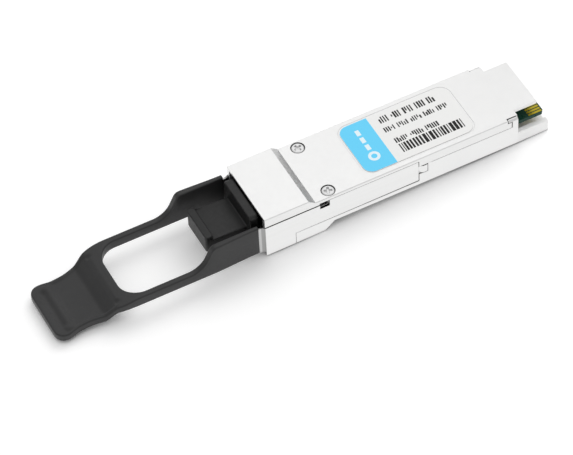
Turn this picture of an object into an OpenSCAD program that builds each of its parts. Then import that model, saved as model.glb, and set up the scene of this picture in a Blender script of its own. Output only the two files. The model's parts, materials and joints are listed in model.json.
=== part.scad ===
// Pluggable optical transceiver module with a parallel-fibre port, a sliding cage release and a dust plug.
// Working coordinates: x = 0 at the nose's front face and grows towards the edge connector,
// y = 0 on the centre plane, z = 0 on the underside of the slim body.
// placed() moves everything so that the whole part stands on z = 0 with its length centred on x = 0.

/* [Body] */
// Width of the slim body and of the nose
body_w = 18.35; // [18.2:0.05:18.5]
// Height of the slim body
body_h = 8.5; // [8.4:0.05:8.6]
// Length from the nose's front face to the rear edge of the case
body_l = 72.2; // [70:0.1:76]
// Thickness of the case's walls and of the cover's plate
wall = 0.9; // [0.8:0.05:1]
// Height of the rear tray's side walls
tray_h = 3.3; // [2.8:0.1:3.6]
// Where the full-width cover ends
shoulder_x = 61.7; // [60:0.1:62]
// Where the cover's rear tongue ends
tongue_end = 70.4; // [68:0.1:71]
// Width of the cover's rear tongue
tongue_w = 13.7; // [12:0.1:14]

/* [Nose] */
// Length of the raised block on top of the nose
nose_l = 11.0; // [10.8:0.1:11.5]
// Height of the raised block over the body's top
nose_rise = 1.23; // [1:0.01:1.3]
// Length of the block under the nose
chin_l = 14.7; // [14:0.1:16]
// Depth of the block under the body's underside
nose_drop = 2.22; // [2:0.01:2.5]

/* [Release slider] */
// Travel that frees the module from its cage
release_travel = 2.4; // [2:0.1:2.5]
// Thickness of the slider's steel
steel_t = 0.48; // [0.4:0.01:0.5]
// Rear end of the long side arms
arm_end = 38.7; // [38:0.1:38.8]
// Clearance round the sliding steel
slide_gap = 0.12; // [0.1:0.01:0.15]
// Open seam between the slider's arms and the cover
open_seam = 0.38; // [0.15:0.01:0.4]

/* [Pull tab] */
// Reach of the pull tab in front of the nose
tab_reach = 50.8; // [49:0.1:56]
// Width across the outside of the fork's arms
tab_w = 19.2; // [18.8:0.1:19.4]
// Width between the fork's arms
fork_gap = 16.1; // [16:0.1:16.2]
// Length of the tall roots of the arms
root_l = 11.9; // [11:0.1:12.5]
// Distance from the nose to the far end of the finger window
window_end = 33.8; // [33:0.1:34.5]
// Thickness of the grip plate
plate_t = 1.9; // [1.6:0.1:2.2]

/* [Port] */
// Width of the port's opening
port_w = 12.6; // [12.5:0.1:12.8]
// Height of the port's opening
port_h = 8.0; // [7.9:0.1:8.1]
// Spacing of the two guide pins
pin_pitch = 4.6; // [4.6:0.1:4.6]
// Diameter of the guide pins
pin_d = 0.7; // [0.68:0.01:0.7]

/* [Board] */
// Thickness of the circuit board
board_t = 1.0; // [0.9:0.1:1.1]
// Height of the board's upper face over the body's underside
board_top = 5.2; // [5.1:0.1:5.3]
// Width of the board at its contact edge
board_w = 15.2; // [15.1:0.1:15.4]
// Number of contacts on each face
contact_count = 19; // [5:2:19]
// Distance from contact to contact
contact_pitch = 0.8; // [0.75:0.01:0.8]

/* [Hidden] */
$fn = 48;

half_w = body_w / 2;
top_z = body_h + nose_rise;
port_z = (top_z - nose_drop) / 2;

// cover and case meet along three levels, which step where the slider's arm changes height
front_seam = 7.25;
mid_seam = 7.6;
rear_seam = 5.95;
notch_x0 = 13.8;
notch_x1 = 16.1;
seam_x = 13.7;
step_x = 38.85;
seam_groove = 0.1;
ceiling = body_h - wall - 0.1;

nose_ramp = 1.7;
chin_ramp = 2.57;
nose_wall = 0.6;
nose_room_end = 14.0;
nose_room_half = 8.05;
room_half = 7.6;
room_end = 61.2;
tray_floor = 2.0;
tray_half = 7.95;
post_x0 = 61.9;
post_x1 = 64.4;
post_top = 8.3;
post_in = 8.45;
tail_top = 7.6;
tail_end = 62.7;
tail_gap = 0.2;
plate_half = 8.35;
edge_cut = 0.15;
post_half = 7.0;
slot_top = 3.5;
pedestal_top = 3.2;

pocket_depth = steel_t + slide_gap;
arm_out = half_w - 0.02;
arm_in = arm_out - steel_t;
arm_gap = 0.06;
arm_low = 1.2;
arm_lift = 0.22;
arm_front_top = front_seam - open_seam;
arm_rear_top = mid_seam - 0.1;
heel_x = 7.5;
wedge_end = 41.0;
wedge_z0 = 3.48;
wedge_z1 = 5.62;
joggle = 0.42;
joggle_x = -0.75;
neck_l = 1.6;
core_l = 10.5;
notch_z = 5.8;

screw_x = 16.84;
screw_y = 7.2;
screw_r = 0.8;
head_r = 1.5;
head_t = 0.5;
head_gap = 0.17;
slot_half = 0.26;
slot_depth = 0.4;
boss_r = 1.6;

spring_x0 = 19.4;
lug_x = 27.6;
lug_t = 0.45;
lug_half = 0.55;
lug_room = 0.3;
spring_bore = 0.8;
spring_y = 7.6;
spring_z = 6.35;
coil_r = 0.55;
wire_r = 0.13;
coil_turns = 9;
coil_steps = 12;
wire_sides = 6;

label_x0 = 26.3;
label_x1 = 54.9;
label_half = 7.95;
label_r = 2.8;
label_t = 0.12;
label_sink = 0.1;
label_gap = 0.4;

// pull tab's side profile
root_top = 7.9;
arm_top = 2.1;
arm_bottom = -0.5;
lip_z = -1.95;
sag_start = 31;
sag_l = 8;
sag_h = 1.1;
drop_start = 36.2;
drop_l = 3.6;
drop_h = 1.95;
plate_slope = 0.12;
ridge_d = 47.0;
ridge_half = 1.9;
ridge_h = 0.4;
shoulder_r = 1.6;
hollow_r = 5;
root_slope = 63;

// pull tab's plan outline
root_half = 9.15;
neck_in = 2.1;
neck_start = 33.5;
neck_len = 10;
flare = 0.55;
flare_start = 45;
flare_len = 3.2;
tip_r = 2.4;
window_r = 4.7;

frame_x = (tab_reach - body_l) / 2;
frame_z = plate_t - lip_z;

plug_floor = 4.97;
plug_flange_x0 = -2.3;
plug_flange_x1 = -0.2;
plug_front = -12.5;
plug_lip = 1.9;
plug_half = 4.9;

board_z = board_top - board_t;
board_x0 = 21.5;
board_x1 = 71.8;
waist_x = 33.0;
waist_half = 6.3;
room_board_half = 7.35;
contact_half = 0.27;
contact_l = 3.4;

function smooth(t) = let (u = min(max(t, 0), 1)) u * u * (3 - 2 * u);
function arc(cx, cy, r, a0, a1, n) = [for (i = [0:n]) let (a = a0 + (a1 - a0) * i / n)
    [cx + r * cos(a), cy + r * sin(a)]];

// height of the grip plate's upper and lower faces at distance d in front of the nose
function plate_line(d) = max(arm_top - sag_h * smooth((d - sag_start) / sag_l)
    - drop_h * smooth((d - drop_start) / drop_l) - plate_slope * max(d - drop_start - drop_l, 0), lip_z);
function plate_top(d) = plate_line(d) + ridge_h * smooth(1 - abs(d - ridge_d) / ridge_half);
function plate_bottom(d) = let (s = smooth((d - sag_start) / (drop_start + drop_l - sag_start)))
    arm_bottom * (1 - s) + (plate_line(d) - plate_t) * s;

// half the tab's width at distance d in front of the nose, with rounded corners at the tip
function tab_side(d) = root_half + (tab_w / 2 - root_half) * smooth((d - neck_l) / root_l)
    - neck_in * smooth((d - neck_start) / neck_len) + flare * smooth((d - flare_start) / flare_len);
function tab_half(d) = let (e = max(d - (tab_reach - tip_r), 0))
    tab_side(d) - (tip_r - sqrt(max(tip_r * tip_r - e * e, 0)));

module placed() {
    translate([frame_x, 0, frame_z]) children();
}

module block(x0, x1, y0, y1, z0, z1) {
    translate([x0, y0, z0]) cube([x1 - x0, y1 - y0, z1 - z0]);
}

module wide_block(x0, x1, half, z0, z1) {
    block(x0, x1, -half, half, z0, z1);
}

// a side profile in x and z, given thickness between y0 and y1
module side_slab(points, y0, y1) {
    translate([0, y1, 0]) rotate([90, 0, 0]) linear_extrude(y1 - y0) polygon(points);
}

// a cross-section in y and z, given length between x0 and x1
module end_slab(points, x0, x1) {
    translate([x0, 0, 0]) rotate([90, 0, 90]) linear_extrude(x1 - x0) polygon(points);
}

// what is cut off one long upper edge at height z to leave a flat of size e
module edge_wedge(x0, x1, z, e) {
    end_slab([[half_w - e - 1, z + 1], [half_w + 1, z + 1], [half_w + 1, z - e - 1]], x0, x1);
}

module both_sides() {
    children();
    mirror([0, 1, 0]) children();
}

module rounded_rect(x0, x1, half, r) {
    translate([x0 + r, -half]) square([x1 - x0 - 2 * r, 2 * half]);
    translate([x0, -half + r]) square([x1 - x0, 2 * half - 2 * r]);
    for (x = [x0 + r, x1 - r])
        for (y = [r - half, half - r])
            translate([x, y]) circle(r);
}

// the pocket that a slider arm runs in, cut into the case's side
module arm_pocket() {
    y0 = half_w - pocket_depth;
    block(-1, heel_x + arm_gap, y0, half_w + 1, -nose_drop - 1, front_seam + 1);
    block(0, notch_x1, y0, half_w + 1, arm_low - arm_gap, front_seam + 1);
    block(notch_x1 - 0.5, step_x, y0, half_w + 1, arm_low - arm_gap, mid_seam + 1);
    block(step_x - 1, wedge_end + slide_gap, y0, half_w + 1, wedge_z0 - slide_gap, rear_seam + 1);
    block(notch_x0, notch_x1 - 0.15, screw_y - boss_r - 0.5, half_w, notch_z, mid_seam);
    block(notch_x0, notch_x1, half_w - 1, half_w, notch_z, mid_seam);
    block(lug_x - release_travel - lug_room, lug_x + lug_t + lug_room, room_half - 1, half_w,
        spring_z - lug_half - 0.2, spring_z + lug_half + 0.2);
}

module case_profile() {
    side_slab([[0, -nose_drop], [chin_l, -nose_drop], [chin_l + chin_ramp, 0], [body_l, 0],
        [body_l, tray_h], [post_x1, tray_h], [post_x1, post_top], [post_x0, post_top],
        [post_x0, tail_top + 0.1], [tail_end + tail_gap, tail_top + 0.1],
        [tail_end + tail_gap, rear_seam], [step_x, rear_seam], [step_x, mid_seam],
        [seam_x, mid_seam], [seam_x, front_seam], [0, front_seam]], -half_w, half_w);
}

module lower_case() {
    color("silver") placed() difference() {
        union() {
            difference() {
                case_profile();
                wide_block(-1, nose_room_end, nose_room_half, -nose_drop + 2 * nose_wall, body_h);
                wide_block(nose_room_end - 1, room_end, room_half, wall, body_h);
                wide_block(room_end - 1, post_x1, post_half, tray_floor, body_h);
                wide_block(post_x0 - 1, post_x1 + 1, post_in, tail_top, body_h);
                both_sides() edge_wedge(post_x0 - 1, post_x1 + 1, post_top, 0.45);
                wide_block(post_x0, body_l + 1, tray_half, tray_floor, slot_top);
                wide_block(post_x0 + 1, body_l + 1, post_half, tray_floor, body_h);
            }
            both_sides() {
                intersection() {
                    translate([screw_x, screw_y, 0]) cylinder(r = boss_r, h = front_seam);
                    block(screw_x - 2, notch_x1 + 4, 0, half_w, 0, front_seam);
                }
                block(spring_x0 - 0.7, lug_x + 2, spring_y - 1.1, half_w, board_top + 0.15, mid_seam);
                block(waist_x + 0.5, room_end, room_half - 0.8, half_w - 1, wall / 2, board_z);
            }
            wide_block(board_x0 + 0.4, board_x0 + 1.6, waist_half - 0.5, wall / 2, board_z);
            wide_block(30, 38, 4, wall / 2, pedestal_top);
        }
        both_sides() {
            arm_pocket();
            translate([screw_x, screw_y, 2.5]) cylinder(r = screw_r, h = body_h);
            translate([spring_x0 - 0.1, spring_y, spring_z])
                rotate([0, 90, 0]) cylinder(r = spring_bore, h = lug_x - spring_x0 + 1.2);
            block(spring_x0 - 0.1, lug_x + 1.1, spring_y - spring_bore, spring_y + spring_bore,
                spring_z, mid_seam + 1);
            block(wedge_end + 1, tail_end + tail_gap, half_w - 0.5, half_w + 1,
                rear_seam - seam_groove, rear_seam + 1);
        }
        wide_block(-1, heel_x + arm_gap, half_w + 1, -nose_drop - 1, -nose_drop + pocket_depth);
    }
}

module cover_profile() {
    side_slab([[0, front_seam], [0, top_z], [nose_l, top_z], [nose_l + nose_ramp, body_h],
        [shoulder_x, body_h], [shoulder_x, tail_top], [tail_end, tail_top], [tail_end, rear_seam],
        [step_x, rear_seam], [step_x, mid_seam], [seam_x, mid_seam], [seam_x, front_seam]],
        -half_w, half_w);
}

module upper_cover() {
    color("gainsboro") placed() difference() {
        union() {
            cover_profile();
            wide_block(shoulder_x - 1, tongue_end, tongue_w / 2, ceiling + 0.2, body_h);
            wide_block(shoulder_x - 1, post_x1 + 0.1, plate_half, ceiling + 0.2, body_h);
        }
        wide_block(-1, nose_l - 0.6, nose_room_half, front_seam - 1, top_z - nose_wall);
        wide_block(nose_l - 1, room_end, room_half, rear_seam - 1, ceiling);
        wide_block(room_end - 1, tail_end + 1, half_w - 1, rear_seam - 1, ceiling + 0.2);
        both_sides() {
            edge_wedge(-1, nose_l + 0.1, top_z, edge_cut);
            edge_wedge(nose_l + nose_ramp, shoulder_x + 1, body_h, edge_cut);
        }
        both_sides() translate([screw_x, screw_y, 0]) {
            cylinder(r = screw_r + 0.1, h = body_h + 1);
            translate([0, 0, body_h - head_t]) cylinder(r = head_r + head_gap, h = 1);
        }
        translate([0, 0, body_h - label_sink])
            linear_extrude(1) rounded_rect(label_x0, label_x1, label_half, label_r);
    }
}

module cover_screw() {
    difference() {
        union() {
            translate([0, 0, 4]) cylinder(r = screw_r - 0.02, h = body_h - head_t - 4);
            translate([0, 0, body_h - head_t]) cylinder(r = head_r, h = head_t - 0.15);
            translate([0, 0, body_h - 0.15]) cylinder(r1 = head_r, r2 = head_r - 0.25, h = 0.15);
        }
        for (a = [0, 90])
            rotate([0, 0, a + 20]) block(-0.95, 0.95, -slot_half, slot_half, body_h - slot_depth, body_h + 1);
    }
}

module cover_screws() {
    color("lightgray") placed() both_sides() translate([screw_x, screw_y, 0]) cover_screw();
}

module product_label() {
    color("white") placed() translate([0, 0, body_h - label_sink])
        linear_extrude(label_t) rounded_rect(label_x0 + label_gap, label_x1 - label_gap,
            label_half - label_gap, label_r - label_gap);
}

module emi_gasket() {
    color("dimgray") placed() difference() {
        wide_block(nose_room_end + 0.1, nose_room_end + 0.9, room_half - 0.05, wall + 0.05, ceiling - 0.05);
        wide_block(nose_room_end, nose_room_end + 1, 3.7, port_z - 1.7, port_z + 1.7);
    }
}

module slider_arm() {
    side_slab([[0.1, -nose_drop + 0.02], [heel_x, -nose_drop + 0.02], [heel_x, arm_low],
        [arm_end, arm_low + arm_lift], [arm_end, arm_rear_top], [notch_x1 + slide_gap, arm_rear_top],
        [notch_x1 + slide_gap, notch_z], [notch_x0, notch_z], [notch_x0, arm_front_top],
        [0.1, arm_front_top]], arm_in, arm_out);
    // inward joggle in front of the nose, and the core that the pull tab is moulded round
    translate([0, 0, arm_bottom - 0.4]) linear_extrude(arm_front_top + 0.1 - arm_bottom + 0.4)
        polygon([[0.1, arm_in], [0.1, arm_out], [joggle_x, arm_out - joggle], [-neck_l, arm_out - joggle],
            [-neck_l, arm_in - joggle], [joggle_x, arm_in - joggle]]);
    block(-neck_l - core_l, -neck_l, arm_in - joggle, arm_out - joggle, 0.3, 7.0);
    // wedge that spreads the cage's latch
    translate([0, 0, wedge_z0]) linear_extrude(wedge_z1 - wedge_z0)
        polygon([[arm_end - 0.1, arm_in], [arm_end - 0.1, arm_out], [arm_end + 0.2, arm_out - 0.25],
            [arm_end + 0.6, arm_out - 0.25], [arm_end + 1.2, arm_out], [wedge_end, arm_out],
            [wedge_end, arm_in]]);
    // lug that pushes on the return spring
    block(lug_x, lug_x + lug_t, spring_y - 0.6, arm_in + 0.1, spring_z - lug_half, spring_z + lug_half);
}

module release_slider() {
    color("lightsteelblue") placed() {
        both_sides() slider_arm();
        wide_block(0.6, heel_x, arm_in + 0.1, -nose_drop + 0.02, -nose_drop + 0.02 + steel_t);
    }
}

// a wire swept along a helix whose axis is x
module coil_spring(x0, x1) {
    rings = coil_turns * coil_steps;
    pitch = (x1 - x0 - 2 * wire_r) / rings;
    points = [for (i = [0:rings]) let (a = 360 * i / coil_steps)
        for (j = [0:wire_sides - 1]) let (b = 360 * j / wire_sides, r = coil_r + wire_r * cos(b))
            [x0 + wire_r + pitch * i + wire_r * sin(b), r * cos(a), r * sin(a)]];
    walls = [for (i = [0:rings - 1]) for (j = [0:wire_sides - 1])
        let (k = (j + 1) % wire_sides, m = i * wire_sides, n = m + wire_sides)
            [m + j, n + j, n + k, m + k]];
    last = rings * wire_sides;
    caps = [[for (j = [0:wire_sides - 1]) j], [for (j = [wire_sides - 1:-1:0]) last + j]];
    polyhedron(points, concat(walls, caps), convexity = 10);
}

module return_spring(side) {
    color("gray") placed() translate([0, side * spring_y, spring_z]) coil_spring(spring_x0, lug_x - 0.05);
}

module return_spring_left() {
    return_spring(1);
}

module return_spring_right() {
    return_spring(-1);
}

// the S-shaped step from the tall roots of the fork down to its low arms
function root_curve() =
    let (fall = root_top - arm_top - (shoulder_r + hollow_r) * (1 - cos(root_slope)),
        c2x = -root_l - (shoulder_r + hollow_r) * sin(root_slope) - fall / tan(root_slope))
    concat(arc(-root_l, root_top - shoulder_r, shoulder_r, 90, 90 + root_slope, 10),
        arc(c2x, arm_top + hollow_r, hollow_r, root_slope - 90, -90, 14));

module tab_profile() {
    upper = [for (d = [sag_start:0.6:tab_reach]) [-d, plate_top(d)]];
    lower = [for (d = [sag_start:0.6:tab_reach]) [-d, plate_bottom(d)]];
    side_slab(concat([[-neck_l, arm_bottom], [-neck_l, root_top]], root_curve(), upper,
        [[-tab_reach, plate_top(tab_reach)], [-tab_reach, plate_bottom(tab_reach)]],
        [for (i = [len(lower) - 1:-1:0]) lower[i]]), -half_w - 1, half_w + 1);
}

module tab_plan() {
    tip_steps = 8;
    near = [for (d = [neck_l:2:neck_start - 1]) [-d, tab_half(d)]];
    mid = [for (d = [neck_start:1:tab_reach - tip_r]) [-d, tab_half(d)]];
    tip = [for (i = [0:tip_steps])
        let (d = tab_reach - tip_r * (1 - sin(90 * i / tip_steps))) [-d, tab_half(d)]];
    edge = concat(near, mid, tip);
    translate([0, 0, -20]) linear_extrude(40)
        polygon(concat(edge, [for (i = [len(edge) - 1:-1:0]) [edge[i][0], -edge[i][1]]]));
}

module pull_tab() {
    color("#303030") placed() difference() {
        intersection() {
            tab_profile();
            tab_plan();
        }
        translate([0, 0, -20]) linear_extrude(40) rounded_rect(-window_end, 10, fork_gap / 2, window_r);
        both_sides() block(-neck_l - core_l, 0, arm_in - joggle, arm_out - joggle, 0.3, 7.0);
    }
}

module dust_plug() {
    color("#1c1c1c") placed() difference() {
        union() {
            translate([plug_flange_x0, 0, port_z]) rotate([0, 90, 0])
                linear_extrude(plug_flange_x1 - plug_flange_x0) rounded_rect(-5.2, 5.2, 6.5, 1.0);
            translate([0, 0, plug_floor - 3.47]) {
                linear_extrude(3.47) rounded_rect(plug_front, plug_flange_x0 + 1, plug_half, 0.8);
                linear_extrude(4.82) rounded_rect(plug_front, plug_front + plug_lip, plug_half, 0.8);
            }
            wide_block(plug_flange_x1, 5.8, 4.7, port_z - 2.95, port_z + 2.95);
        }
        wide_block(3, 6, 3.5, port_z - 1.6, port_z + 1.6);
        wide_block(plug_front + plug_lip, plug_flange_x0 - 1,
            plug_half - 1, plug_floor - 4, plug_floor - 1.2);
    }
}

module port_insert() {
    color("#202020") placed() difference() {
        union() {
            wide_block(0.6, nose_l - 1, nose_room_half - 0.05,
                -nose_drop + 2 * nose_wall + 0.05, top_z - nose_wall - 0.05);
            wide_block(nose_l - 1.5, nose_room_end - 0.1, room_half - 0.05, wall + 0.05, ceiling - 0.1);
        }
        wide_block(0, 10.5, port_w / 2, port_z - port_h / 2, port_z + port_h / 2);
        wide_block(10, nose_room_end + 1, 3.65, port_z - 1.65, port_z + 1.65);
    }
}

module port_latch_clip() {
    color("#3a3a38") placed() {
        difference() {
            wide_block(9.5, 10.45, port_w / 2 - 0.05, port_z - 2.4, port_z + 2.4);
            wide_block(9, 11, 3.35, port_z - 1.4, port_z + 1.4);
        }
        both_sides() {
            block(2.1, 9.6, 5.2, 5.7, port_z - 1.4, port_z + 1.4);
            translate([0, 0, port_z - 1.4]) linear_extrude(2.8)
                polygon([[2.1, 5.25], [2.1, 5.0], [2.6, 4.8], [3.2, 4.8], [3.6, 5.25]]);
        }
    }
}

module mt_ferrule() {
    color("#b8903c") placed() difference() {
        union() {
            wide_block(8, 14.2, 3.2, port_z - 1.25, port_z + 1.25);
            wide_block(12.2, 14.2, 3.5, port_z - 1.5, port_z + 1.5);
        }
        both_sides() translate([7, pin_pitch / 2, port_z]) rotate([0, 90, 0]) cylinder(d = pin_d, h = 8);
    }
}

module guide_pins() {
    color("whitesmoke") placed() both_sides() translate([6, pin_pitch / 2, port_z]) rotate([0, 90, 0]) {
        translate([0, 0, 0.25]) cylinder(d = pin_d, h = 8.95);
        cylinder(d1 = pin_d - 0.4, d2 = pin_d, h = 0.25);
    }
}

module pin_keeper() {
    color("silver") placed() difference() {
        wide_block(14.2, 15.2, 3.2, port_z - 1.2, port_z + 1.2);
        both_sides() translate([14, pin_pitch / 2, port_z]) rotate([0, 90, 0]) cylinder(d = pin_d, h = 2);
        wide_block(14, 16, 1.7, port_z - 0.45, port_z + 0.45);
    }
}

module ferrule_holder() {
    color("darkgray") placed() difference() {
        wide_block(15.2, 17.6, 4.6, wall, port_z + 1.9);
        wide_block(15, 18, 2.3, port_z - 0.8, port_z + 3);
    }
}

module fibre_ribbon() {
    rise = board_top + 1.0 - port_z;
    steps = 14;
    x0 = 14.2;
    bend0 = 17.6;
    bend1 = 23;
    x1 = 28.2;
    t = 0.3;
    path = concat([[x0, port_z]], [for (i = [0:steps]) let (u = i / steps)
        [bend0 + (bend1 - bend0) * u, port_z + rise * smooth(u)]], [[x1, port_z + rise]]);
    color("turquoise") placed() side_slab(concat([for (p = path) [p[0], p[1] - t / 2]],
        [for (i = [len(path) - 1:-1:0]) [path[i][0], path[i][1] + t / 2]]), -1.55, 1.55);
}

module fibre_jumper() {
    z0 = board_top + 1.0;
    color("#8a8f52") placed() difference() {
        wide_block(26.4, 30.1, 2.2, board_top + 0.1, z0 + 0.8);
        wide_block(26, 28.2, 1.55, z0 - 0.15, z0 + 0.15);
    }
}

module lens_block() {
    color("#c9a24a", 0.8) placed() difference() {
        side_slab([[30.1, board_top], [36.4, board_top], [36.4, board_top + 1.3], [35.8, board_top + 1.8],
            [33.4, board_top + 1.8], [32.2, board_top + 1.1], [31.6, board_top + 1.8],
            [30.1, board_top + 1.8]], -2.7, 2.7);
        wide_block(30.9, 35.7, 2.1, board_top - 1, board_top + 0.8);
    }
}

module vcsel_array() {
    color("#7a5a8c") placed() block(31.8, 32.05, -1.5, -0.5, board_top, board_top + 0.15);
}

module photodiode_array() {
    color("#3c4a80") placed() block(31.8, 32.05, 0.5, 1.5, board_top, board_top + 0.15);
}

module laser_driver() {
    color("#505a60") placed() block(32.6, 34.8, -1.8, -0.15, board_top, board_top + 0.3);
}

module receiver_amplifier() {
    color("#505a60") placed() block(32.6, 34.8, 0.15, 1.8, board_top, board_top + 0.3);
}

module microcontroller() {
    color("#262626") placed() block(42, 47, -5.5, -0.5, board_top, board_top + 0.85);
}

module memory_chip() {
    color("#2b2b2b") placed() block(48.5, 51.5, 2.6, 4.6, board_top, board_top + 0.75);
}

module power_inductors() {
    color("#4a4a4e") placed()
        for (x = [39.6, 43.4]) block(x, x + 2.5, 2.8, 4.8, board_top, board_top + 1.2);
}

module capacitors() {
    color("#b9a17c") placed() {
        for (i = [-7:7]) block(56, 57, i * 0.9 - 0.25, i * 0.9 + 0.25, board_top, board_top + 0.5);
        for (x = [38.2, 48.6, 50.4]) block(x, x + 1, -6.2, -5.7, board_top, board_top + 0.5);
    }
}

module resistors() {
    color("#1f1f24") placed()
        for (i = [0:5]) block(49 + i * 0.9, 49.5 + i * 0.9, -3.6, -2.6, board_top, board_top + 0.35);
}

module thermal_pad() {
    color("#9fb0c0") placed() wide_block(30.5, 37.5, 3.6, pedestal_top, board_z);
}

module circuit_board() {
    half = board_w / 2;
    color("#14503c") placed() translate([0, 0, board_z]) linear_extrude(board_t)
        polygon([[board_x0, -waist_half], [board_x0, waist_half], [waist_x, waist_half],
            [waist_x, room_board_half], [room_end - 1, room_board_half], [room_end - 1, post_half - 0.15],
            [post_x1 + 0.3, post_half - 0.15], [post_x1 + 0.3, half], [board_x1 - 0.4, half],
            [board_x1, half - 0.4], [board_x1, 0.4 - half], [board_x1 - 0.4, -half],
            [post_x1 + 0.3, -half], [post_x1 + 0.3, 0.15 - post_half], [room_end - 1, 0.15 - post_half],
            [room_end - 1, -room_board_half], [waist_x, -room_board_half], [waist_x, -waist_half]]);
}

module contact_row(z) {
    side_count = (contact_count - 1) / 2;
    for (i = [-side_count:side_count])
        block(board_x1 - 0.3 - contact_l, board_x1 - 0.3,
            i * contact_pitch - contact_half, i * contact_pitch + contact_half, z, z + 0.05);
}

module contacts_top() {
    color("gold") placed() contact_row(board_top);
}

module contacts_bottom() {
    color("gold") placed() contact_row(board_z - 0.05);
}

lower_case();
upper_cover();
cover_screws();
product_label();
emi_gasket();
release_slider();
return_spring_left();
return_spring_right();
pull_tab();
dust_plug();
port_insert();
port_latch_clip();
mt_ferrule();
guide_pins();
pin_keeper();
ferrule_holder();
fibre_ribbon();
fibre_jumper();
lens_block();
vcsel_array();
photodiode_array();
laser_driver();
receiver_amplifier();
microcontroller();
memory_chip();
power_inductors();
capacitors();
resistors();
thermal_pad();
circuit_board();
contacts_top();
contacts_bottom();
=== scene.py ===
"""Looks of a pluggable optical transceiver module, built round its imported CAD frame."""
import json
import math
import random

import bmesh
import bpy
from mathutils import Matrix, Vector


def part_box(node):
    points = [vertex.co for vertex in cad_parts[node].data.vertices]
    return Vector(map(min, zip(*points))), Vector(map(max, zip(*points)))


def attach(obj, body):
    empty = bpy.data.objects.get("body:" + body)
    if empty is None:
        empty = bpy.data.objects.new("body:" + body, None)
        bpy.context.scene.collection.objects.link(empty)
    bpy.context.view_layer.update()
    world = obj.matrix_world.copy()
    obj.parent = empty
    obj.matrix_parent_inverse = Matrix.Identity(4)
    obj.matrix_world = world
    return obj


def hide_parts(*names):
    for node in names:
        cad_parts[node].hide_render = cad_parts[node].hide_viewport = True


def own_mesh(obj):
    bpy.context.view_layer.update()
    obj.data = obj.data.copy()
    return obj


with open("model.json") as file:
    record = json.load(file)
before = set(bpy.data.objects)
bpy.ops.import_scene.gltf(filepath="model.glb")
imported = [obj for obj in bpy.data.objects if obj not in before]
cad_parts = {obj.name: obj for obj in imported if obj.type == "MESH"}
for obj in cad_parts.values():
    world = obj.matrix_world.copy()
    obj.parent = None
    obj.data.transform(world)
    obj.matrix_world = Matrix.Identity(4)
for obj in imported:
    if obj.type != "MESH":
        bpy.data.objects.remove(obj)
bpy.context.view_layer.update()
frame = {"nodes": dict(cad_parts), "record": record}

MM = 0.001
NODES = frame["nodes"]

# the module's own lengths are given in millimetres from the nose's front face and the slim body's underside
BODY_H = 8.5
NOSE_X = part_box("lower_case")[0].x
BODY_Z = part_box("cover_screws")[1].z - BODY_H * MM
NOTCH_X0, NOTCH_X1, NOTCH_Z = 13.8, 16.1, 5.8
TRAY_X = 64.4
JOGGLE_X = -0.76


def at(x, y, z):
    """A point of the row frame, from millimetres behind the nose, off centre and above the underside."""
    return Vector((NOSE_X + x * MM, y * MM, BODY_Z + z * MM))


# ---------------------------------------------------------------- materials

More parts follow.
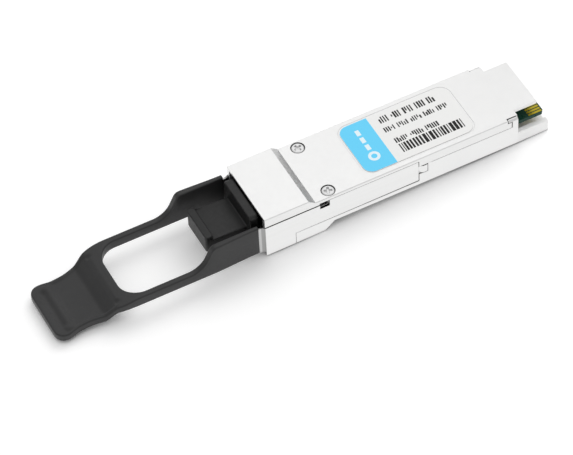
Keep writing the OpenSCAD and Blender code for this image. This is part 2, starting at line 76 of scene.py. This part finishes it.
class Shader:
    """A node material under construction: one Principled shader and helpers that wire textures to it."""

    def __init__(self, name):
        self.material = bpy.data.materials.new(name)
        self.material.use_nodes = True
        self.tree = self.material.node_tree
        self.shader = self.tree.nodes["Principled BSDF"]
        self.coordinates = self.tree.nodes.new("ShaderNodeTexCoord")

    def set(self, **sockets):
        for name, value in sockets.items():
            self.shader.inputs[name.replace("_", " ")].default_value = value
        return self

    def link(self, a, b):
        self.tree.links.new(a, b)

    def stretched(self, scale):
        """Object coordinates scaled by (x, y, z)."""
        mapping = self.tree.nodes.new("ShaderNodeMapping")
        mapping.inputs["Scale"].default_value = scale
        self.link(self.coordinates.outputs["Object"], mapping.inputs["Vector"])
        return mapping.outputs["Vector"]

    def noise(self, scale, detail=3, stretch=(1, 1, 1)):
        texture = self.tree.nodes.new("ShaderNodeTexNoise")
        texture.inputs["Scale"].default_value = scale
        texture.inputs["Detail"].default_value = detail
        self.link(self.stretched(stretch), texture.inputs["Vector"])
        return texture.outputs["Fac"]

    def remap(self, value, low, high, start=0.3, end=0.7):
        node = self.tree.nodes.new("ShaderNodeMapRange")
        node.inputs["From Min"].default_value = start
        node.inputs["From Max"].default_value = end
        node.inputs["To Min"].default_value = low
        node.inputs["To Max"].default_value = high
        self.link(value, node.inputs["Value"])
        return node.outputs["Result"]

    def mix(self, factor, a, b):
        node = self.tree.nodes.new("ShaderNodeMix")
        node.data_type = "RGBA"
        node.inputs["A"].default_value = (*a, 1)
        node.inputs["B"].default_value = (*b, 1)
        self.link(factor, node.inputs["Factor"])
        return node.outputs["Result"]

    def sky(self, reach):
        """How open a point is to its surroundings within reach millimetres, 0 to 1."""
        node = self.tree.nodes.new("ShaderNodeAmbientOcclusion")
        node.samples = 8
        node.inputs["Distance"].default_value = reach * MM
        return node.outputs["AO"]

    def crevice_shade(self, clean, reach=0.7):
        """Painted shade: base colour darkened towards near black inside gaps and pockets narrower than about
        reach millimetres, where shade falls.
        """
        node = self.tree.nodes.new("ShaderNodeMix")
        node.data_type = "RGBA"
        # painted shade: the near-black colour that gaps and pockets are darkened to
        node.inputs["A"].default_value = (0.02, 0.02, 0.02, 1)
        self.link(clean, node.inputs["B"])
        self.link(self.remap(self.sky(reach), 0, 1, 0.22, 0.7), node.inputs["Factor"])
        return self.color(node.outputs["Result"])

    def within(self, value, low, high):
        """1 between low and high, 0 elsewhere."""
        node = self.tree.nodes.new("ShaderNodeMath")
        node.operation = "COMPARE"
        node.inputs[1].default_value = (low + high) / 2
        node.inputs[2].default_value = (high - low) / 2
        self.link(value, node.inputs[0])
        return node.outputs["Value"]

    def product(self, a, b):
        node = self.tree.nodes.new("ShaderNodeMath")
        node.operation = "MULTIPLY"
        self.link(a, node.inputs[0])
        self.link(b, node.inputs[1])
        return node.outputs["Value"]

    def place(self, source="Object"):
        """Separate x, y and z of the object coordinates or the normal."""
        node = self.tree.nodes.new("ShaderNodeSeparateXYZ")
        self.link(self.coordinates.outputs[source], node.inputs[0])
        return node.outputs

    def tinted(self, color, factor, dark):
        """Multiplies a colour by dark where factor is 1."""
        node = self.tree.nodes.new("ShaderNodeMix")
        node.data_type = "RGBA"
        node.blend_type = "MULTIPLY"
        node.inputs["B"].default_value = (dark, dark, dark, 1)
        self.link(color, node.inputs["A"])
        self.link(factor, node.inputs["Factor"])
        return node.outputs["Result"]

    def painted_bend_shading(self, color):
        """Painted shade on the slider ahead of the nose, where its arms step in; black painted shade on its
        inner faces there and in a band at the notch; and painted light that lightens the strip ahead of the
        joggle.
        """
        place = self.place()
        outward = self.product(place["Y"], self.place("Normal")["Y"])
        step = self.remap(place["X"], 1, 0, NOSE_X + 0.08 * MM, NOSE_X + 0.12 * MM)
        flat = self.remap(place["X"], 1, 0, at(JOGGLE_X - 0.02, 0, 0).x, at(JOGGLE_X + 0.02, 0, 0).x)
        inside = self.remap(outward, 1, 0, -0.004, -0.002)
        low, high = at(NOTCH_X0 - 0.05, 0, NOTCH_Z - 0.04), at(NOTCH_X1 + 0.05, 0, NOTCH_Z + 0.04)
        notch = self.product(self.within(place["X"], low.x, high.x), self.within(place["Z"], low.z, high.z))
        # painted shadow: a black band at the notch
        color = self.tinted(color, notch, 0.03)
        # painted shade: the slider's metal ahead of the nose is darkened
        color = self.tinted(color, step, 0.42)
        # painted shade: black on its inner faces there
        color = self.tinted(color, self.product(step, inside), 0.03)
        # painted light: the strip ahead of the joggle is lightened
        lift = self.tree.nodes.new("ShaderNodeMix")
        lift.data_type = "RGBA"
        lift.blend_type = "ADD"
        lift.inputs["B"].default_value = (0.2, 0.2, 0.2, 1)
        self.link(color, lift.inputs["A"])
        self.link(flat, lift.inputs["Factor"])
        return lift.outputs["Result"]

    def bump(self, *layers):
        """layers are (height value, depth in millimetres)."""
        normal = None
        for height, depth in layers:
            node = self.tree.nodes.new("ShaderNodeBump")
            node.inputs["Strength"].default_value = 1
            node.inputs["Distance"].default_value = depth * MM
            self.link(height, node.inputs["Height"])
            if normal:
                self.link(normal, node.inputs["Normal"])
            normal = node.outputs["Normal"]
        self.link(normal, self.shader.inputs["Normal"])
        return self

    def color(self, value):
        self.link(value, self.shader.inputs["Base Color"])
        return self

    def roughness(self, value):
        self.link(value, self.shader.inputs["Roughness"])
        return self


def die_cast(name, tone, rough):
    """The case's plating: painted black shadow in the notch below each cover screw, painted shade in
    crevices, and matt grey on the board's tray.
    """
    s = Shader(name).set(Metallic=1.0)
    place = s.place()
    low, high = at(NOTCH_X0 + 0.05, 0, NOTCH_Z + 0.05), at(NOTCH_X1 - 0.05, 0, 9)
    notch = s.product(s.within(place["X"], low.x, high.x), s.within(place["Z"], low.z, high.z))
    tray = s.remap(place["X"], 0, 1, at(TRAY_X - 0.1, 0, 0).x, at(TRAY_X + 0.1, 0, 0).x)
    color = s.mix(s.remap(s.noise(140, 4), 0, 1), [c * 0.98 for c in tone], tone)
    # painted black shadow in the notch, then painted shade in crevices
    s.crevice_shade(s.tinted(color, notch, 0.02), 1.2)
    s.roughness(s.remap(tray, rough, 0.8, 0, 1))
    s.link(s.remap(tray, 1, 0.15, 0, 1), s.shader.inputs["Metallic"])
    s.bump((s.noise(5200, 2), 0.0002))
    return s.material


def plated_metal(name, tone, rough, reach=0.7):
    """Satin plating over a die casting: a very fine pebble, slow changes of tone and painted shade in
    crevices.
    """
    s = Shader(name).set(Metallic=1.0)
    # painted shade in crevices, narrower for the screws' recesses
    s.crevice_shade(s.mix(s.remap(s.noise(140, 4), 0, 1), [c * 0.98 for c in tone], tone), reach)
    s.roughness(s.remap(s.noise(900, 3), rough - 0.03, rough + 0.04))
    s.bump((s.noise(5200, 2), 0.0002))
    return s.material


def rolled_steel(name, tone, rough, bend_shading=False):
    """Stainless sheet with a faint lengthwise grain and painted shade in crevices; the last argument adds
    painted shade and light at the slider's step before the nose.
    """
    s = Shader(name).set(Metallic=1.0)
    grain = s.noise(900, 4, (0.06, 1, 1))
    sheet = s.mix(s.remap(grain, 0, 1), [c * 0.97 for c in tone], tone)
    # painted shade in crevices, and on the slider painted shade and light at its step
    s.crevice_shade(s.painted_bend_shading(sheet) if bend_shading else sheet)
    s.roughness(s.remap(grain, rough - 0.03, rough + 0.04))
    s.bump((grain, 0.0003))
    return s.material


def moulded_plastic(name, tone, rough, texture=0.004, rise=0.25):
    """Black moulding with a spark-eroded skin and faint flow marks."""
    s = Shader(name)
    s.set(Specular_IOR_Level=0.5)
    cloud = s.noise(160, 4)
    s.color(s.mix(s.remap(cloud, 0, 1), tone, [c * (1 + rise) for c in tone]))
    s.roughness(s.remap(s.noise(1500, 3), rough - 0.05, rough + 0.06))
    s.bump((s.noise(4200, 3), texture))
    return s.material


def plain_resin(name, tone, rough, metal=0.0, speckle=0.15):
    s = Shader(name).set(Metallic=metal, Specular_IOR_Level=0.3)
    s.color(s.mix(s.remap(s.noise(1800, 3), 0, 1), tone, [c * (1 + speckle) for c in tone]))
    s.roughness(s.remap(s.noise(900, 2), rough - 0.04, rough + 0.04))
    s.bump((s.noise(3000, 2), 0.001))
    return s.material


MATERIALS = {
    "case_metal": die_cast("case_metal", (0.93, 0.93, 0.925), 0.36),
    "cover_metal": plated_metal("cover_metal", (0.91, 0.91, 0.905), 0.36),
    "screw_steel": plated_metal("screw_steel", (0.8, 0.8, 0.8), 0.34, reach=0.3),
    "label_film": plain_resin("label_film", (0.88, 0.88, 0.87), 0.4, speckle=0.01),
    "label_blue": plain_resin("label_blue", (0.15, 0.68, 1.0), 0.6, speckle=0.0),
    "label_white": plain_resin("label_white", (0.8, 0.93, 0.98), 0.4, speckle=0.01),
    "label_ink": plain_resin("label_ink", (0.012, 0.012, 0.012), 0.6),
    "gasket_elastomer": moulded_plastic("gasket_elastomer", (0.05, 0.05, 0.05), 0.7),
    "slider_steel": rolled_steel("slider_steel", (0.93, 0.93, 0.925), 0.34, bend_shading=True),
    "spring_steel": rolled_steel("spring_steel", (0.6, 0.6, 0.6), 0.3),
    "tab_plastic": moulded_plastic("tab_plastic", (0.0145, 0.0145, 0.015), 0.4),
    "plug_plastic": moulded_plastic("plug_plastic", (0.0035, 0.0035, 0.0036), 0.48, rise=1.6),
    "port_plastic": moulded_plastic("port_plastic", (0.012, 0.012, 0.013), 0.5),
    "clip_plastic": moulded_plastic("clip_plastic", (0.02, 0.02, 0.02), 0.5),
    "ferrule_resin": plain_resin("ferrule_resin", (0.05, 0.04, 0.03), 0.4),
    "pin_steel": rolled_steel("pin_steel", (0.75, 0.75, 0.75), 0.15),
    "keeper_steel": rolled_steel("keeper_steel", (0.6, 0.6, 0.6), 0.3),
    "holder_metal": plated_metal("holder_metal", (0.7, 0.7, 0.7), 0.4),
    "ribbon_film": plain_resin("ribbon_film", (0.02, 0.3, 0.36), 0.25),
    "lens_resin": plain_resin("lens_resin", (0.55, 0.32, 0.07), 0.15),
    "die_surface": plain_resin("die_surface", (0.06, 0.05, 0.1), 0.2, 0.5),
    "chip_package": moulded_plastic("chip_package", (0.015, 0.015, 0.016), 0.5),
    "inductor_ferrite": plain_resin("inductor_ferrite", (0.06, 0.06, 0.062), 0.6),
    "capacitor_ceramic": plain_resin("capacitor_ceramic", (0.3, 0.2, 0.1), 0.5),
    "pad_elastomer": plain_resin("pad_elastomer", (0.3, 0.36, 0.42), 0.8),
    "board_resist": plain_resin("board_resist", (0.004, 0.045, 0.03), 0.3),
    "contact_gold": rolled_steel("contact_gold", (0.46, 0.37, 0.035), 0.3),
}

SLOT_OF = {row["node"]: row["material_slot"] for row in frame["record"]["subparts"]}


def paint(obj, slot):
    obj.data.materials.clear()
    obj.data.materials.append(MATERIALS[slot])
    return obj


for node, obj in NODES.items():
    paint(obj, SLOT_OF[node])


# ---------------------------------------------------------------- pieces

def body_of(node):
    bodies = frame["record"]["behaviour"]["bodies"]
    return next(body for body, nodes in bodies.items() if node in nodes)


def add_piece(name, bm, body, slot, material=None, stands_for=None):
    """Turns a bmesh into a piece that rides on a CAD body; pieces of print are flat shaded."""
    mesh = bpy.data.meshes.new(name)
    for face in bm.faces:
        face.smooth = stands_for is not None
    bm.to_mesh(mesh)
    bm.free()
    obj = bpy.data.objects.new(name, mesh)
    bpy.context.collection.objects.link(obj)
    obj.data.materials.append(MATERIALS[material or slot])
    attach(obj, body)
    if stands_for:
        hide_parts(stands_for)
    return obj


def bake(obj):
    """Applies an object's modifiers to its mesh."""
    graph = bpy.context.evaluated_depsgraph_get()
    shown = obj.evaluated_get(graph)
    mesh = bpy.data.meshes.new_from_object(shown, preserve_all_data_layers=True, depsgraph=graph)
    obj.modifiers.clear()
    obj.data = mesh


def round_edges(obj, radius, segments=3, angle=28):
    bevel = obj.modifiers.new("round", "BEVEL")
    bevel.width = radius * MM
    bevel.segments = segments
    bevel.limit_method = "ANGLE"
    bevel.angle_limit = math.radians(angle)
    bevel.miter_outer = "MITER_ARC"
    bevel.use_clamp_overlap = False
    weights = obj.modifiers.new("weights", "WEIGHTED_NORMAL")
    weights.mode = "FACE_AREA"
    weights.weight = 100
    bake(obj)
    return obj


def rounded(node, radius, segments=3, angle=28):
    """A piece that stands for a CAD node: its triangles are merged and its sharp edges rounded."""
    bm = bmesh.new()
    bm.from_mesh(NODES[node].data)
    bmesh.ops.remove_doubles(bm, verts=bm.verts, dist=1e-6)
    bmesh.ops.dissolve_limit(bm, angle_limit=math.radians(0.6), verts=bm.verts, edges=bm.edges)
    obj = add_piece(node + "_skin", bm, body_of(node), SLOT_OF[node], stands_for=node)
    round_edges(obj, radius, segments, angle)
    # a bevel can push a vertex out where three edges meet, so the piece is kept inside its CAD node's box
    low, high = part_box(node)
    for vertex in obj.data.vertices:
        vertex.co = [min(max(c, a), b) for c, a, b in zip(vertex.co, low, high)]
    return obj


def coil(node):
    """A return spring on a mesh of its own, fixed to the module; in the real module the slider's lug pushes
    its far end towards the nose as the slider comes out, which this piece does not follow.
    """
    bm = bmesh.new()
    bm.from_mesh(NODES[node].data)
    obj = add_piece(node + "_coil", bm, "module", SLOT_OF[node], stands_for=node)
    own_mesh(obj)


coil("return_spring_left")
coil("return_spring_right")
rounded("dust_plug", 0.3)
rounded("lower_case", 0.09, 2)
rounded("upper_cover", 0.05, 2)
rounded("release_slider", 0.04, 2)
rounded("cover_screws", 0.06, 2)


# ---------------------------------------------------------------- pull tab

TAB_REACH = (NOSE_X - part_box("pull_tab")[0].x) / MM
TAB_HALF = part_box("pull_tab")[1].y / MM
ROOT_TOP = (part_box("pull_tab")[1].z - BODY_Z) / MM
PLATE_T = 1.9
LIP_Z = PLATE_T + (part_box("pull_tab")[0].z - BODY_Z) / MM
NECK_L = 1.6
ROOT_L = 11.9
ROOT_HALF = 9.15
ARM_TOP = 2.1
ARM_BOTTOM = -0.5
ARM_IN = 8.05
WINDOW_END = 33.8
WINDOW_R = 4.7
SHOULDER_R = 1.6
HOLLOW_R = 5.0
ROOT_SLOPE = math.radians(63)
SAG = 31
SAG_L = 8
SAG_H = 1.1
DROP = 36.2
DROP_L = 3.6
DROP_H = 1.95
PLATE_SLOPE = 0.12
TIP_R = 2.4
EDGE_R = 0.36


def smooth(t):
    t = min(max(t, 0), 1)
    return t * t * (3 - 2 * t)


def tab_line(d):
    """Height of the grip plate's upper face, without its ridge and dish, d in front of the nose."""
    fall = SAG_H * smooth((d - SAG) / SAG_L) + DROP_H * smooth((d - DROP) / DROP_L)
    return max(ARM_TOP - fall - PLATE_SLOPE * max(d - DROP - DROP_L, 0), LIP_Z)


def root_line(d):
    """Height of the fork's upper edge: tall root, round shoulder, slope and hollow down to the arm."""
    shoulder_end = ROOT_L + SHOULDER_R * math.sin(ROOT_SLOPE)
    shoulder_z = ROOT_TOP - SHOULDER_R * (1 - math.cos(ROOT_SLOPE))
    hollow_z = ARM_TOP + HOLLOW_R * (1 - math.cos(ROOT_SLOPE))
    hollow_start = shoulder_end + (shoulder_z - hollow_z) / math.tan(ROOT_SLOPE)
    hollow_end = hollow_start + HOLLOW_R * math.sin(ROOT_SLOPE)
    if d < ROOT_L:
        return ROOT_TOP
    if d < shoulder_end:
        return ROOT_TOP - SHOULDER_R + math.sqrt(SHOULDER_R ** 2 - (d - ROOT_L) ** 2)
    if d < hollow_start:
        return shoulder_z - (d - shoulder_end) * math.tan(ROOT_SLOPE)
    if d < hollow_end:
        return ARM_TOP + HOLLOW_R - math.sqrt(HOLLOW_R ** 2 - (hollow_end - d) ** 2)
    return ARM_TOP


def tab_half(d):
    over = max(d - (TAB_REACH - TIP_R), 0)
    side = ROOT_HALF + (TAB_HALF - ROOT_HALF) * smooth((d - NECK_L) / ROOT_L)
    side += 0.55 * smooth((d - 45) / 3.2) - 2.1 * smooth((d - 33.5) / 10)
    return side - (TIP_R - math.sqrt(max(TIP_R ** 2 - over ** 2, 0)))


def dish(d, y):
    """1 inside the thumb's shallow dish in the grip plate, 0 outside, with soft walls and round corners."""
    start, end, corner, wall = 35.6, 49.4, 1.6, 0.8
    edge = tab_half(min(d, 48)) - 0.55
    qx = abs(d - (start + end) / 2) - (end - start) / 2 + corner
    qy = abs(y) - edge + corner
    gap = math.hypot(max(qx, 0), max(qy, 0)) + min(max(qx, qy), 0) - corner
    return smooth(-gap / wall)


def tab_top(d, y):
    ridge = 0.45 * smooth(1 - abs(d - 46.9) / 1.7)
    marks = sum(h * smooth(1 - math.hypot(d - cd, abs(y) - cy) / r)
                for cd, cy, r, h in ((48.1, 6.2, 1.3, 0.3), (35.9, 7.3, 1.0, -0.22)))
    return min(root_line(d), tab_line(d) if d > SAG else 99) + (ridge - 0.2) * dish(d, y) + marks


def tab_bottom(d, y):
    s = smooth((d - SAG) / (DROP + DROP_L - SAG))
    return ARM_BOTTOM * (1 - s) + (tab_line(d) - PLATE_T) * s


def between(a, b, count):
    return [a + (b - a) * i / count for i in range(count + 1)]


def tab_paths():
    """Inner and outer edge of the fork's left half, as matching points from the root's end to the centre."""
    arm = between(NECK_L, ROOT_L, 8) + between(ROOT_L, 19.2, 40)[1:] + between(19.2, 28, 10)[1:]
    inner = [(d, ARM_IN) for d in arm]
    outer = [(d, tab_half(d)) for d in arm]
    arc_x, arc_y = WINDOW_END - WINDOW_R, ARM_IN - WINDOW_R
    inner += [(d, ARM_IN) for d in between(28, arc_x, 8)[1:]]
    inner += [(arc_x + WINDOW_R * math.sin(a), arc_y + WINDOW_R * math.cos(a))
              for a in between(0, math.pi / 2, 40)[1:]]
    inner += [(WINDOW_END, y) for y in between(arc_y, 0, 28)[1:]]
    corner = TAB_REACH - TIP_R
    outer += [(d, tab_half(d)) for d in between(28, corner, 48)[1:]]
    outer += [(corner + TIP_R * math.sin(a), tab_half(corner) - TIP_R * (1 - math.cos(a)))
              for a in between(0, math.pi / 2, 10)[1:]]
    outer += [(TAB_REACH, y) for y in between(tab_half(corner) - TIP_R, 0, 18)[1:]]
    return inner, outer


def inward(path, side):
    """Unit normals of a path, turned towards the plastic."""
    normals = []
    for i in range(len(path)):
        a, b = path[max(i - 1, 0)], path[min(i + 1, len(path) - 1)]
        dx, dy = b[0] - a[0], b[1] - a[1]
        size = math.hypot(dx, dy)
        normals.append((-side * dy / size, side * dx / size))
    normals[0] = (0, side)
    normals[-1] = (side, 0)
    return normals


def make_pull_tab():
    inner, outer = tab_paths()
    inner_n, outer_n = inward(inner, 1), inward(outer, -1)
    steps, inside = 4, 44
    rim = [(EDGE_R * (1 - math.cos(a)), EDGE_R * (1 - math.sin(a))) for a in between(0, math.pi / 2, steps)]
    rows = []
    for p, q, n, m in zip(inner, outer, inner_n, outer_n):
        row = [(p[0] + n[0] * e, p[1] + n[1] * e, fall) for e, fall in rim]
        far = [(q[0] + m[0] * e, q[1] + m[1] * e, fall) for e, fall in reversed(rim)]
        a, b = row[-1], far[0]
        row += [(a[0] + (b[0] - a[0]) * t, a[1] + (b[1] - a[1]) * t, 0) for t in between(0, 1, inside)[1:-1]]
        rows.append(row + far)
    rows += [[(d, -y, fall) for d, y, fall in row] for row in reversed(rows[:-1])]
    bm = bmesh.new()
    top = [[bm.verts.new(at(-d, y, tab_top(d, y) - fall)) for d, y, fall in row] for row in rows]
    low = [[bm.verts.new(at(-d, y, tab_bottom(d, y) + fall)) for d, y, fall in row] for row in rows]
    for i in range(len(rows) - 1):
        for j in range(len(rows[0]) - 1):
            bm.faces.new((top[i][j], top[i + 1][j], top[i + 1][j + 1], top[i][j + 1]))
            bm.faces.new((low[i][j], low[i][j + 1], low[i + 1][j + 1], low[i + 1][j]))
        for j in (0, -1):
            bm.faces.new((top[i][j], low[i][j], low[i + 1][j], top[i + 1][j]))
    for i in (0, -1):
        for j in range(len(rows[0]) - 1):
            bm.faces.new((top[i][j], top[i][j + 1], low[i][j + 1], low[i][j]))
    bmesh.ops.recalc_face_normals(bm, faces=bm.faces)
    tab = add_piece("pull_tab_moulding", bm, "release", "tab_plastic", stands_for="pull_tab")
    tab.data.set_sharp_from_angle(angle=math.radians(50))


make_pull_tab()


# ---------------------------------------------------------------- label print

LABEL_LOW, LABEL_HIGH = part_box("product_label")
PRINT_T = 0.012


def print_shape(bm, outline, level=0):
    """A very thin closed plate on the label, from an outline in millimetres."""
    base = LABEL_HIGH.z + level * PRINT_T * MM
    rings = []
    for z in (base, base + PRINT_T * MM):
        rings.append([bm.verts.new((NOSE_X + x * MM, y * MM, z)) for x, y in outline])
    bm.faces.new(rings[1])
    bm.faces.new(list(reversed(rings[0])))
    for i in range(len(outline)):
        j = (i + 1) % len(outline)
        bm.faces.new((rings[0][i], rings[0][j], rings[1][j], rings[1][i]))


def corner_arc(cx, cy, r, start, end, count=8):
    return [(cx + r * math.cos(math.radians(a)), cy + r * math.sin(math.radians(a)))
            for a in between(start, end, count)]


def rectangle(x0, x1, y0, y1):
    return [(x0, y0), (x1, y0), (x1, y1), (x0, y1)]


def make_label_print():
    x0 = (LABEL_LOW.x - NOSE_X) / MM + 0.05
    half = LABEL_HIGH.y / MM - 0.05
    r = 2.35
    band = bmesh.new()
    print_shape(band, [(34.3, -half), (34.3, half)] + corner_arc(x0 + r, half - r, r, 90, 180)
                + corner_arc(x0 + r, r - half, r, 180, 270))
    add_piece("label_band", band, "module", "label_film", "label_blue")

    # a plain link mark: a ring and three bars in a column
    mark = bmesh.new()
    mark_x = 30.6
    for y0, y1 in ((-1.3, 0.4), (1.1, 2.8), (3.5, 5.2)):
        print_shape(mark, rectangle(mark_x - 0.5, mark_x + 0.5, y0, y1), 1)
    count = 20
    for i in range(count):
        a, b = 2 * math.pi * i / count, 2 * math.pi * (i + 1) / count
        print_shape(mark, [(mark_x + r * math.cos(t), -3.4 + r * math.sin(t))
                           for t, r in ((a, 0.7), (a, 1.4), (b, 1.4), (b, 0.7))], 1)
    add_piece("label_mark", mark, "module", "label_film", "label_white")

    # rows of plain upright strokes where a real label has print, and bars that hold no code
    dice = random.Random(5)
    ink = bmesh.new()
    lines = ((36.5, 50.8, 4.35, 1.95, 0.62, 5),
             (36.2, 53.5, 1.45, 1.45, 0.56, 6),
             (36.8, 48.7, -2.5, 1.5, 0.56, 7))
    for start, end, base, height, pitch, word in lines:
        for n in range(int((end - start) / pitch)):
            if n % word == word - 1:
                continue
            x = start + n * pitch
            low = base + height * dice.choice((0, 0, 0, 0.35))
            high = base + height * dice.choice((1, 1, 0.7))
            print_shape(ink, rectangle(x, x + pitch * dice.choice((0.5, 0.6, 0.72)), low, high))
    x = 36.95
    while x < 52.6:
        width = dice.choice((0.22, 0.3, 0.5, 0.75))
        print_shape(ink, rectangle(x, x + width, -5.65, -2.95))
        x += width + dice.choice((0.2, 0.26, 0.34))
    add_piece("label_ink", ink, "module", "label_film", "label_ink")


make_label_print()


# ---------------------------------------------------------------- floor, light and camera

SOFT_BOX = Vector((0.45, 0.5, 0.74)).normalized()
WALLS = 0.6
FLOOR_GLOW = 0.24
CHIN_END = 14.7
CHIN_DROP = 2.22
BODY_L = 72.2


REST_TILT = math.atan2(CHIN_DROP, BODY_L - CHIN_END)


def make_floor():
    """A pale floor that the module rests on at the back of its chin and at its rear edge; it glows faintly,
    and its glow and colour fade as a painted shadow where the module is close above it.
    """
    rear = at(BODY_L, 0, 0)
    bpy.ops.mesh.primitive_plane_add(size=8, location=rear)
    floor = bpy.context.object
    floor.name = "floor"
    floor.rotation_euler = (0, -REST_TILT, 0)
    s = Shader("floor_painted_shadow").set(Roughness=0.9, Specular_IOR_Level=0.1, Emission_Color=(1, 1, 1, 1))
    # painted shadow: within 6 mm of the module the floor's glow fades and its colour turns grey
    shelter = s.sky(6)
    s.link(s.remap(shelter, 0, FLOOR_GLOW, 0.2, 0.7), s.shader.inputs["Emission Strength"])
    s.color(s.mix(s.remap(shelter, 0, 1, 0, 0.5), (0.4, 0.4, 0.4), (0.91, 0.91, 0.91)))
    floor.data.materials.append(s.material)


def make_card(name, place, size, turn, tone):
    """A glowing card that only reflections see, to shade or brighten the metal that faces it."""
    bpy.ops.mesh.primitive_plane_add(size=1, location=place, rotation=turn)
    card = bpy.context.object
    card.name = name
    card.scale = (size[0], size[1], 1)
    s = Shader("card_cloth").set(Roughness=0.9, Emission_Strength=tone)
    s.set(Base_Color=(0.02, 0.02, 0.02, 1), Emission_Color=(1, 1, 1, 1))
    card.data.materials.append(s.material)
    card.visible_camera = False
    card.visible_diffuse = False
    card.visible_shadow = False


def make_key():
    """A broad lamp from behind the card edge, unseen by reflections, so shadows fall towards the tab."""
    data = bpy.data.lights.new("key", "AREA")
    data.size = 0.7
    data.energy = 2.8
    key = bpy.data.objects.new("key", data)
    bpy.context.collection.objects.link(key)
    key.location = (0.55, 0.4, 0.75)
    key.rotation_euler = (-key.location).to_track_quat("-Z", "Y").to_euler()
    key.visible_glossy = False


def make_world():
    """A studio with one broad soft box behind the module, high up, and dimmer walls all round."""
    world = bpy.data.worlds.new("studio")
    bpy.context.scene.world = world
    world.use_nodes = True
    tree = world.node_tree
    background = tree.nodes["Background"]
    direction = tree.nodes.new("ShaderNodeTexCoord")
    along = tree.nodes.new("ShaderNodeVectorMath")
    along.operation = "DOT_PRODUCT"
    along.inputs[1].default_value = SOFT_BOX
    ramp = tree.nodes.new("ShaderNodeMapRange")
    ramp.interpolation_type = "SMOOTHSTEP"
    ramp.inputs["From Min"].default_value = 0.5
    ramp.inputs["From Max"].default_value = 0.92
    ramp.inputs["To Min"].default_value = WALLS
    ramp.inputs["To Max"].default_value = 1.06
    tree.links.new(direction.outputs["Generated"], along.inputs[0])
    tree.links.new(along.outputs["Value"], ramp.inputs["Value"])
    tree.links.new(ramp.outputs["Result"], background.inputs["Strength"])
    background.inputs["Color"].default_value = (1, 1, 1, 1)


def make_camera():
    azimuth, elevation, roll = (math.radians(a) for a in (-25.3, 49.713, -3.138))
    back = Vector((math.sin(azimuth) * math.cos(elevation), -math.cos(azimuth) * math.cos(elevation),
                   math.sin(elevation)))
    right = (-back).cross(Vector((0, 0, 1))).normalized()
    up = right.cross(-back).normalized()
    turned = math.cos(roll) * right + math.sin(roll) * up
    data = bpy.data.cameras.new("camera")
    data.sensor_width = 36
    data.lens = 233.8
    data.clip_start, data.clip_end = 0.05, 20
    camera = bpy.data.objects.new("camera", data)
    bpy.context.collection.objects.link(camera)
    pose = Matrix((turned, back.cross(turned), back)).transposed().to_4x4()
    pose.translation = at(-222.348, -490.662, 632.727)
    camera.matrix_world = pose
    bpy.context.scene.camera = camera


make_floor()
make_card("grey_card", (0.16, 0.12, 0.04), (0.6, 0.16), (math.pi / 2, 0, math.radians(-54)), 0.18)
make_card("near_card", at(BODY_L, -109.4, 0.1), (2 * (BODY_L + 0.5) * MM, 0.2), (0, -REST_TILT, 0), 0.88)
make_key()
make_world()
make_camera()
bpy.context.scene.view_settings.view_transform = "Standard"
